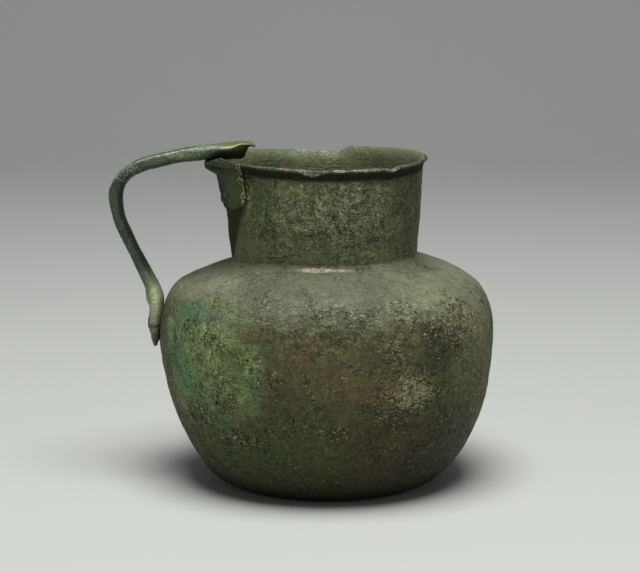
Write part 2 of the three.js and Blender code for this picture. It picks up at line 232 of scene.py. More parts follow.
def makeVessel(sizes):
    outer = vesselProfile(sizes)
    inner = innerLine(outer, sizes["wall"], 2)
    rim, top, thin = sizes["rimRadius"], sizes["rimHeight"], sizes["lipThickness"]
    lift = sizes["lipRound"]
    edge = [Vector((rim - thin * 0.22, top + lift * 0.8)), Vector((rim - thin / 2, top + lift)),
            Vector((rim - thin * 0.8, top + lift * 0.85)), Vector((rim - thin, top + lift / 2))]
    floorLine = [Vector((share * 29.4, 0)) for share in (0, 0.25, 0.5, 0.7, 0.85, 0.94)]
    insideFloor = [Vector((share * 29.4, sizes["wall"])) for share in (0.85, 0.5, 0)]
    bm = bmesh.new()
    lipLayer = bm.verts.layers.float.new("lipSide")
    inside = bm.verts.layers.float.new("inside")
    worn = bm.verts.layers.float.new("worn")
    paintedShade = bm.verts.layers.float.new("paintedShade")
    seamAndShade = bm.verts.layers.float.new("seamAndShade")
    lipTop = bm.verts.layers.float.new("lip")
    chain = []
    for part, isInside in ((floorLine + outer + edge, 0), (inner[::-1] + insideFloor, 1)):
        for point in part:
            vert = bm.verts.new((point.x, 0, point.y))
            vert[inside] = isInside
            vert[lipLayer] = 1 - ease(point.x, rim, rim - thin) if point.y > 96 else 1
            chain.append(vert)
    edges = [bm.edges.new(pair) for pair in zip(chain, chain[1:])]
    bmesh.ops.spin(bm, geom=chain + edges, cent=(0, 0, 0), axis=(0, 0, 1), dvec=(0, 0, 0),
                   angle=2 * math.pi, steps=sizes["steps"], use_merge=True)
    bmesh.ops.remove_doubles(bm, verts=bm.verts, dist=1e-4)
    bmesh.ops.recalc_face_normals(bm, faces=bm.faces)
    for vert in bm.verts:
        plain = vert.co.copy()
        bearing = math.degrees(math.atan2(plain.y, plain.x))
        aside = abs(turnFrom(bearing, 180))  # degrees away from the handle
        rub = max(strength * (1 - ease(abs(turnFrom(bearing, place)), reach * 0.6, reach))
                  for place, reach, strength in sizes["rubbed"])
        vert[lipTop] = ease(plain.z, top - 0.7, top) * (1 - vert[inside])
        vert[worn] = ease(plain.z, top, top + 0.35) * between(0.05, 1, rub) * ease(aside, 40, 44)
        # painted shade: a dark band under the lip, where the lip overhangs the neck
        under = ease(plain.z, 97, 98.2) * (1 - ease(plain.z, 100.1, 100.6))
        # painted shadow: a dark stretch down the neck's flanks below the plate, where the strap
        # and plate shade it, fainter and softer towards the back
        limit = between(8, 38, (max(plain.z - 72.5, 0) / 15.5) ** 0.6)
        faint = ease(plain.y, -4, 10)
        flank = 1 - ease(aside, limit - between(3, 14, faint), limit + between(2, 8, faint))
        flank *= ease(plain.z, 72.5, 74.5) * between(0.85, 0.6, faint)
        vert[paintedShade] = max(under, flank) * (1 - vert[inside])
        joint = (1 - ease(abs(aside - 42.3), 0.8, 2.4)) * ease(plain.z, 87, 90)
        vert[seamAndShade] = joint * (1 - ease(plain.z, 98.3, 99.3)) * (1 - vert[inside])
        vert.co = weather(plain, sizes, vert[lipLayer])
    bm.normal_update()
    for vert in bm.verts:
        co, flat = vert.co.copy(), ease(vert.co.z, 0.2, 3)
        quiet = 1 - 0.75 * ease(co.z, 58, 66) * (1 - ease(co.z, 70, 76))
        beaten = lumps(co, 19, 3.1) * sizes["hammer"]
        crusty = (lumps(co, 3.4, 8.3) + 0.6 * lumps(co, 1.6, 5.2)) * sizes["scale"] * quiet
        vert.co += vert.normal * ((beaten + crusty) * flat)
    return finishPiece(bm, "raised_vessel", "vessel_bronze", "vessel")


vesselPiece = makeVessel(vessel)
print("vessel raised:", len(vesselPiece.data.polygons), "faces")


# handle: a strap drawn out of one bar, with a dished tip and a leaf

handle = {
    # x, z, width, thickness, curl of the edges, keel underneath
    "stations": [(-22.3, 104.9, 3.4, 0.8, 0, 0), (-24, 105.6, 8.2, 0.9, 0.2, 0.3),
                 (-26.4, 105.6, 11.6, 1, 0.5, 3.6), (-29.3, 105.1, 13, 1.2, 0.6, 3.5),
                 (-33, 104.3, 12.4, 2.2, 0.5, 2.1), (-38.6, 102.95, 9.6, 4.4, 0.1, 0),
                 (-45, 102.15, 8.2, 4.3, 0, 0), (-51.3, 100.85, 8, 4.4, 0, 0),
                 (-57.3, 99.3, 8, 4.3, 0, 0), (-62.2, 96.5, 8, 4, 0, 0),
                 (-65.5, 92, 8, 4.8, 0, 0), (-65.1, 83.8, 8, 4, 0, 0),
                 (-62, 76, 8, 3.8, 0, 0), (-58.4, 68.5, 8.4, 4, 0, 0),
                 (-55.3, 62, 10, 4.5, -0.2, 0), (-54.1, 57.9, 12.4, 5.2, -0.5, 0),
                 (-53.9, 54.2, 13.8, 3.7, -0.6, 0), (-54.4, 49.6, 13.2, 3.3, -0.5, 0),
                 (-54.1, 45.6, 9.4, 2.7, -0.3, 0), (-54, 42, 2.6, 1.1, 0, 0)],
    "rings": 230,
    "sides": 40,
    "squareness": (4.2, 2.2),  # of the outer side, and underneath
    "droop": 0.8,  # how far the near edge of the tip hangs down
    "leafSeat": 0.1,  # room between the leaf and the belly
    "channel": 0.4,
    "beaten": 0.13,
    "scale": 0.07,
}


def rounded(value, squareness):
    return math.copysign(abs(value) ** (2 / squareness), value)


def growRings(bm, rings):
    # rings of (place, worn, crust and shade), each drawn out of the one before it and closed at
    # both ends; the last value is seam crust on the plate and painted shade under the strap
    worn = bm.verts.layers.float.new("worn")
    seamAndShade = bm.verts.layers.float.new("seamAndShade")
    bmesh.ops.create_circle(bm, cap_ends=True, segments=len(rings[0]), radius=1)
    cap = bm.faces[:][0]
    for index, ring in enumerate(rings):
        if index:
            cap = bmesh.ops.extrude_discrete_faces(bm, faces=[cap])["faces"][0]
        for vert, (place, wornShare, seamAndShadeShare) in zip(cap.verts, ring):
            vert.co = place
            vert[worn] = wornShare
            vert[seamAndShade] = seamAndShadeShare
    bmesh.ops.holes_fill(bm, edges=[edge for edge in bm.edges if edge.is_boundary], sides=0)
    ends = [face for face in bm.faces if len(face.verts) > 4]
    bmesh.ops.poke(bm, faces=ends)
    bmesh.ops.recalc_face_normals(bm, faces=bm.faces)
    bm.normal_update()


def roughen(bm, sizes, seed):
    for vert in bm.verts:
        co = vert.co.copy()
        lift = lumps(co, 5.5, seed) * sizes["beaten"]
        lift += (lumps(co, 1.9, seed + 4) + 0.6 * lumps(co, 0.9, seed + 9)) * sizes["scale"]
        vert.co += vert.normal * lift


def handleRing(sizes, stations, line, share):
    x, z, width, thick, curl, keel = bend(stations, share)
    ahead = bend(stations, min(share + 0.002, 1))
    behind = bend(stations, max(share - 0.002, 0))
    way = Vector((ahead[0] - behind[0], 0, ahead[1] - behind[1])).normalized()
    outwards = Vector((way.z, 0, -way.x))
    strap = ease(share, 0.28, 0.36) * (1 - ease(share, 0.72, 0.8))
    tip = 1 - ease(share, 0.12, 0.3)
    ring = []
    for side in range(sizes["sides"]):
        angle = -side / sizes["sides"] * math.tau
        square = sizes["squareness"][0 if math.sin(angle) > 0 else 1]
        across = rounded(math.cos(angle), square)
        face = rounded(math.sin(angle), square)
        under = max(keel, 0) * max(-face, 0) * (1 - across ** 4)
        hollow = sizes["channel"] * strap * (1 - across ** 2) * max(face, 0)
        rise = face * thick / 2 + curl * across ** 2 - under - hollow
        rise -= sizes["droop"] * tip * (1 - ease(x, -30, -26.5)) * max(-across, 0) ** 2
        place = Vector((x, across * width / 2, z)) + outwards * rise
        laid = ease(place.z, 43, 45) * (1 - ease(place.z, 53, 60))
        if face < 0 and laid > 0:
            flat = Vector((place.x, place.y, 0))
            room = flat.length - radiusAt(line, place.z) - sizes["leafSeat"]
            place -= flat.normalized() * (min(max(room, 0), 0.7) * -face * laid)
        crest = ease(min(abs(across), face), 0.7, 0.86)
        # painted shade on the strap's underside, weaker towards the leaf
        below = ease(-face, 0.1, 0.9) * (1 - tip) * between(1, 0.25, ease(share, 0.66, 0.76))
        ring.append((place, crest, below))
    return ring


def makeHandle(sizes):
    bm = bmesh.new()
    stations = [Vector(station) for station in sizes["stations"]]
    count = sizes["rings"]
    line = vesselProfile(vessel)
    rings = [handleRing(sizes, stations, line, between(0.002, 0.998, step / count))
             for step in range(count + 1)]
    growRings(bm, rings)
    roughen(bm, sizes, 2.7)
    return finishPiece(bm, "strap_handle", "handle_bronze", "handle")


handlePiece = makeHandle(handle)
print("handle drawn out:", len(handlePiece.data.polygons), "faces")


# neck plate: a shield bent round the neck, with a flange under the strap

plate = {
    "bottom": 86.8,
    "top": 100.5,
    "cornerTop": 101.9,
    "halfAngle": 41,
    "bottomHalfAngle": 19,
    "cornerHeight": 4.2,
    "seat": 0.12,
    # how far its outer face stands from the neck: at its lower edge, and under the flange
    "outside": (0.95, 1.8),
    "taperHeight": 9,
    "sideEdge": 0.75,
    "flangeStart": 96.3,
    "flangeFull": 99.2,
    "flangeRadius": 36.3,
    "rows": 44,
    "columns": 46,
    "beaten": 0.1,
    "scale": 0.12,
}


def plateOutside(sizes, height):
    return between(*sizes["outside"], min((height - sizes["bottom"]) / sizes["taperHeight"], 1))


def plateRing(sizes, line, share):
    height = between(sizes["bottom"], sizes["top"], share)
    corner = min((height - sizes["bottom"]) / sizes["cornerHeight"], 1)
    half = between(sizes["bottomHalfAngle"], sizes["halfAngle"], math.sqrt(1 - (1 - corner) ** 2))
    flare = ease(height, sizes["flangeStart"], sizes["flangeFull"])
    rise = ease(height, sizes["flangeStart"], sizes["top"]) * (sizes["cornerTop"] - sizes["top"])
    low = ease(height, sizes["bottom"], sizes["bottom"] + 1.3)
    radius = radiusAt(line, height)
    full = plateOutside(sizes, height)
    ring = []
    for column in range(2 * sizes["columns"]):
        back = column >= sizes["columns"]
        place = column - sizes["columns"] if back else column
        offset = between(-1, 1, place / (sizes["columns"] - 1)) * (-1 if back else 1)
        angle = offset * half
        side = ease(abs(offset), 0.9, 1)
        reach = radius + between(sizes["sideEdge"], full, between(0.4, 1, low) * (1 - side))
        central = 1 - ease(abs(angle), 8, sizes["halfAngle"])
        reach = between(reach, sizes["flangeRadius"], flare * central)
        reach = radius + sizes["seat"] if back else reach
        turn = math.radians(180 + angle)
        seamAndShade = ease(abs(offset), 0.92, 0.96) * ease(share, 0.12, 0.3)
        point = Vector((math.cos(turn) * reach + leanAt(height, vessel), math.sin(turn) * reach,
                        height + rise * ease(abs(angle), 12, 20)))
        ring.append((point, 0 if back else side, seamAndShade))
    return ring


def makePlate(sizes):
    bm = bmesh.new()
    line = vesselProfile(vessel)
    rings = [plateRing(sizes, line, row / sizes["rows"]) for row in range(sizes["rows"] + 1)]
    growRings(bm, rings)
    roughen(bm, sizes, 6.1)
    return finishPiece(bm, "neck_shield", "plate_bronze", "neck_plate")


platePiece = makePlate(plate)
print("plate bent:", len(platePiece.data.polygons), "faces")


# rivets: a flush head outside, and a tail hammered over inside

rivets = {
    "shank": 0.9,
    "head": 1.85,
    "sink": 0.75,
    "headHeight": 0.22,
    "tail": 1.7,
    "tailHeight": 0.5,
    "gap": 0.3,
    "leafFace": -55.8,
    "neck": {"neck_rivet_front": (203, 92.2), "neck_rivet_rear": (157, 92.2),
             "neck_rivet_lower": (180, 89.4)},
    "leaf": {"leaf_rivet_front": (-3.4, 50), "leaf_rivet_rear": (3.4, 50)},
}


def dome(radius, start, height, steps):
    turns = [step / steps * math.pi / 2 for step in range(steps + 1)]
    return [(math.cos(turn) * radius, start + math.sin(turn) * height) for turn in turns]


def makeRivet(sizes, node, place, way, stack):
    gap = sizes["gap"]
    tailTop = -stack - gap
    head = dome(sizes["head"], 0, sizes["headHeight"], 7)
    tail = dome(sizes["tail"], tailTop, -sizes["tailHeight"], 6)[::-1]
    shank = [(sizes["shank"], tailTop), (sizes["shank"], -sizes["sink"])]
    bm = bmesh.new()
    worn = bm.verts.layers.float.new("worn")
    chain = [bm.verts.new((out, 0, high)) for out, high in [*tail, *shank, *head]]
    edges = [bm.edges.new(pair) for pair in zip(chain, chain[1:])]
    bmesh.ops.spin(bm, geom=chain + edges, cent=(0, 0, 0), axis=(0, 0, 1), dvec=(0, 0, 0),
                   angle=math.tau, steps=32, use_merge=True)
    bmesh.ops.remove_doubles(bm, verts=bm.verts, dist=1e-3)
    bmesh.ops.recalc_face_normals(bm, faces=bm.faces)
    turn = way.to_track_quat("Z", "Y").to_matrix().to_4x4()
    bmesh.ops.transform(bm, matrix=Matrix.Translation(place) @ turn, verts=bm.verts)
    bm.normal_update()
    for vert in bm.verts:
        vert[worn] = 0.5
        vert.co += vert.normal * (lumps(vert.co, 1.3, 7.7) * 0.08)
    return finishPiece(bm, node.replace("_rivet_", "_stud_"), "rivet_bronze", node)


def makeRivets(sizes):
    line = vesselProfile(vessel)
    made = []
    for node, (bearing, height) in sizes["neck"].items():
        turn = math.radians(bearing)
        way = Vector((math.cos(turn), math.sin(turn), 0))
        outside = plateOutside(plate, height)
        place = way * (radiusAt(line, height) + outside)
        place += Vector((leanAt(height, vessel), 0, height))
        made.append(makeRivet(sizes, node, place, way, outside + vessel["wall"]))
    for node, (side, height) in sizes["leaf"].items():
        inner = radiusAt(line, height + sizes["tail"]) - vessel["wall"]
        back = math.sqrt(inner ** 2 - (abs(side) + sizes["tail"]) ** 2)
        place = Vector((sizes["leafFace"], side, height))
        made.append(makeRivet(sizes, node, place, Vector((-1, 0, 0)), -sizes["leafFace"] - back))
    return made


rivetPieces = makeRivets(rivets)
print("rivets set:", len(rivetPieces))


# finishes

def paint(red, green, blue):
    # a colour as a screen shows it, 0 to 255
    def linear(value):
        value /= 255
        return value / 12.92 if value <= 0.04045 else ((value + 0.055) / 1.055) ** 2.4
    return (linear(red), linear(green), linear(blue), 1)


def addNode(tree, kind, sockets=None, **settings):
    node = tree.nodes.new(kind)
    for key, value in settings.items():
        setattr(node, key, value)
    for key, value in (sockets or {}).items():
        if isinstance(value, bpy.types.NodeSocket):
            tree.links.new(value, node.inputs[key])
        else:
            node.inputs[key].default_value = value
    return node


def reckon(tree, operation, first, second, third=None):
    sockets = {0: first, 1: second}
    if third is not None:
        sockets[2] = third
    return addNode(tree, "ShaderNodeMath", sockets, operation=operation).outputs[0]


def times(tree, *values):
    result = values[0]
    for value in values[1:]:
        result = reckon(tree, "MULTIPLY", result, value)
    return result


def blendColour(tree, share, first, second, kind="MIX"):
    node = addNode(tree, "ShaderNodeMix", {0: share, 6: first, 7: second},
                   data_type="RGBA", blend_type=kind)
    return node.outputs[2]


def blendValue(tree, share, first, second):
    return addNode(tree, "ShaderNodeMix", {0: share, 2: first, 3: second}).outputs[0]


def window(tree, value, low, high, outLow=0.0, outHigh=1.0):
    sockets = {"Value": value, "From Min": low, "From Max": high, "To Min": outLow,
               "To Max": outHigh}
    node = addNode(tree, "ShaderNodeMapRange", sockets, interpolation_type="SMOOTHSTEP")
    return node.outputs["Result"]


def noiseAt(tree, place, scale, detail=3.0, roughness=0.55, distortion=0.0):
    sockets = {"Vector": place, "Scale": scale, "Detail": detail, "Roughness": roughness,
               "Distortion": distortion}
    return addNode(tree, "ShaderNodeTexNoise", sockets).outputs["Fac"]


def attribute(tree, name):
    return addNode(tree, "ShaderNodeAttribute", attribute_name=name).outputs["Fac"]


def newGroup(name, inputs, outputs):
    group = bpy.data.node_groups.new(name, "ShaderNodeTree")
    for label, kind, value in inputs:
        socket = group.interface.new_socket(label, in_out="INPUT", socket_type=kind)
        if value is not None:
            socket.default_value = value
    for label, kind in outputs:
        group.interface.new_socket(label, in_out="OUTPUT", socket_type=kind)
    return group, group.nodes.new("NodeGroupInput"), group.nodes.new("NodeGroupOutput")


def makeCrustGroup():
    # the skin of old bronze: values from 0 to 1, and a height of about -1 to 1
    group, given, out = newGroup(
        "pittedCrust",
        [("Vector", "NodeSocketVector", None), ("Fineness", "NodeSocketFloat", 1.0),
         ("Seed", "NodeSocketFloat", 0.0)],
        [(label, "NodeSocketFloat") for label in ("Mottle", "Cloud", "Crowd", "Grain", "Pits",
                                                  "Specks", "Chips", "Grooves", "Flakes", "Shade",
                                                  "Height")],
    )
    shifted = addNode(group, "ShaderNodeVectorMath",
                      {0: given.outputs["Vector"], 1: given.outputs["Seed"]}, operation="ADD")
    scaled = addNode(group, "ShaderNodeVectorMath",
                     {0: shifted.outputs[0], "Scale": given.outputs["Fineness"]},
                     operation="SCALE")
    wide, close = shifted.outputs[0], scaled.outputs[0]
    mottle = noiseAt(group, wide, 75, 5, 0.62, 0.4)
    cloud = noiseAt(group, wide, 190, 4, 0.62, 0.3)
    crowd = window(group, noiseAt(group, wide, 115, 5, 0.66, 0.5), 0.47, 0.6)
    lumps = noiseAt(group, close, 560, 3, 0.62, 0.2)
    grain = noiseAt(group, close, 1500, 2, 0.7)
    flat = addNode(group, "ShaderNodeVectorMath", {0: close, 1: (1, 1, 1.5)},
                   operation="MULTIPLY").outputs[0]
    pits = noiseAt(group, flat, 1050, 2, 0.6, 0.7)
    specks = noiseAt(group, flat, 1350, 2, 0.65, 0.7)
    drawnOut = addNode(group, "ShaderNodeVectorMath", {0: close, 1: (1, 1, 2.3)},
                       operation="MULTIPLY").outputs[0]
    chips = noiseAt(group, drawnOut, 620, 3, 0.7, 1.2)
    scales = noiseAt(group, drawnOut, 270, 3, 0.5, 1.5)
    broken = window(group, noiseAt(group, close, 300, 2), 0.46, 0.56)
    grooves = window(group, reckon(group, "PINGPONG", scales, 0.5), 0.45, 0.5)
    grooves = times(group, grooves, broken)
    flakes = window(group, noiseAt(group, close, 270, 6, 0.72, 0.9), 0.48, 0.54)
    shade = reckon(group, "MULTIPLY_ADD", lumps, 0.45, times(group, grain, 0.55))
    rise = reckon(group, "MULTIPLY_ADD", lumps, 2.4, times(group, grain, 1.6))
    rise = reckon(group, "MULTIPLY_ADD", flakes, 0.5, rise)
    rise = reckon(group, "MULTIPLY_ADD", window(group, scales, 0.45, 0.55), 1.5, rise)
    height = reckon(group, "MULTIPLY_ADD", window(group, pits, 0.34, 0.42, 1, 0), -0.7,
                    reckon(group, "ADD", rise, -2.2))
    made = {"Mottle": mottle, "Cloud": cloud, "Crowd": crowd, "Grain": grain, "Pits": pits,
            "Specks": specks, "Chips": chips, "Grooves": grooves, "Flakes": flakes,
            "Shade": shade, "Height": height}
    for label, value in made.items():
        group.links.new(value, out.inputs[label])
    return group


def makePatchGroup():
    # a ragged patch: 1 inside an oval round its centre, 0 outside
    group, given, out = newGroup(
        "raggedPatch",
        [("Vector", "NodeSocketVector", None), ("Centre", "NodeSocketVector", None),
         ("Size", "NodeSocketVector", None), ("Wander", "NodeSocketFloat", 0.0),
         ("Soft", "NodeSocketFloat", 0.3)],
        [("Mask", "NodeSocketFloat")],
    )
    away = addNode(group, "ShaderNodeVectorMath",
                   {0: given.outputs["Vector"], 1: given.outputs["Centre"]}, operation="SUBTRACT")
    scaled = addNode(group, "ShaderNodeVectorMath",
                     {0: away.outputs[0], 1: given.outputs["Size"]}, operation="DIVIDE")
    length = addNode(group, "ShaderNodeVectorMath", {0: scaled.outputs[0]}, operation="LENGTH")
    edge = reckon(group, "ADD", length.outputs["Value"], given.outputs["Wander"])
    low = reckon(group, "SUBTRACT", 1.0, given.outputs["Soft"])
    high = reckon(group, "ADD", 1.0, given.outputs["Soft"])
    group.links.new(window(group, edge, low, high, 1.0, 0.0), out.inputs["Mask"])
    return group


crustGroup = makeCrustGroup()
patchGroup = makePatchGroup()


def newMaterial(name):
    material = bpy.data.materials.new(name)
    material.use_nodes = True
    tree = material.node_tree
    shader = tree.nodes["Principled BSDF"]
    place = addNode(tree, "ShaderNodeTexCoord").outputs["Object"]
    return material, tree, shader, place


def crust(tree, place, fineness, seed):
    sockets = {"Vector": place, "Fineness": fineness, "Seed": seed}
    return addNode(tree, "ShaderNodeGroup", sockets, node_tree=crustGroup).outputs


def patch(tree, place, wander, centre, size, soft=0.35):
    sockets = {"Vector": place, "Wander": wander, "Soft": soft,
               "Centre": [value * mm for value in centre], "Size": [value * mm for value in size]}
    return addNode(tree, "ShaderNodeGroup", sockets, node_tree=patchGroup).outputs["Mask"]


def shadeBy(tree, colour, factor):
    grey = addNode(tree, "ShaderNodeCombineColor", {0: factor, 1: factor, 2: factor}).outputs[0]
    return blendColour(tree, 1.0, colour, grey, "MULTIPLY")


def layPatches(tree, place, wander, colour, patches):
    for tone, centre, size, soft, strength in patches:
        mask = times(tree, patch(tree, place, wander, centre, size, soft), strength)
        colour = blendColour(tree, mask, colour, tone)
    return colour


def loudAt(tree, place, wander, loud, values):
    for centre, size, soft, strength in values["crusty"]:
        zone = times(tree, patch(tree, place, wander, centre, size, soft), strength)
        loud = reckon(tree, "MAXIMUM", loud, zone)
    return loud


def dress(tree, shader, colour, skin, values, loud=1.0, dull=0.0, speck=None):
    # the last coats that every bronze shares; loud is how strongly the grain shows, and how
    # many specks and pits there are
    low, high = values["grain"]
    dark = blendValue(tree, loud, 1.0, window(tree, skin["Shade"], 0.4, 0.6, low, high))
    flaky = blendValue(tree, loud, 1.0, window(tree, skin["Flakes"], 0, 1, *values["flakes"]))
    colour = shadeBy(tree, colour, times(tree, dark, flaky))
    least = reckon(tree, "MULTIPLY_ADD", loud, -0.12, 0.71)
    specks = window(tree, skin["Specks"], least, reckon(tree, "ADD", least, 0.05))
    most = reckon(tree, "MULTIPLY_ADD", loud, 0.06, 0.325)
    pits = window(tree, skin["Pits"], reckon(tree, "ADD", most, -0.05), most, 1, 0)
    colour = blendColour(tree, times(tree, pits, values["pits"]), colour, values["pit"])
    grooves = times(tree, skin["Grooves"], loud, values["grooves"])
    colour = blendColour(tree, grooves, colour, values["pit"])
    colour = blendColour(tree, times(tree, specks, values["specks"]), colour,
                         speck or values["speck"])
    if "chip" in values:
        least = reckon(tree, "MULTIPLY_ADD", loud, -0.085, 0.705)
        chips = window(tree, skin["Chips"], least, reckon(tree, "ADD", least, 0.03))
        colour = blendColour(tree, times(tree, chips, 0.85), colour, values["chip"])
    tree.links.new(colour, shader.inputs["Base Color"])
    rough = window(tree, skin["Shade"], 0.4, 0.6, *values["roughness"])
    tree.links.new(blendValue(tree, dull, rough, 1.0), shader.inputs["Roughness"])
    shader.inputs["Metallic"].default_value = values["metallic"]
    shader.inputs["Specular IOR Level"].default_value = values["shine"]
    bump = addNode(tree, "ShaderNodeBump", {"Height": times(tree, skin["Height"], loud),
                                            "Distance": values["relief"] * mm, "Strength": 1.0})
    tree.links.new(bump.outputs["Normal"], shader.inputs["Normal"])


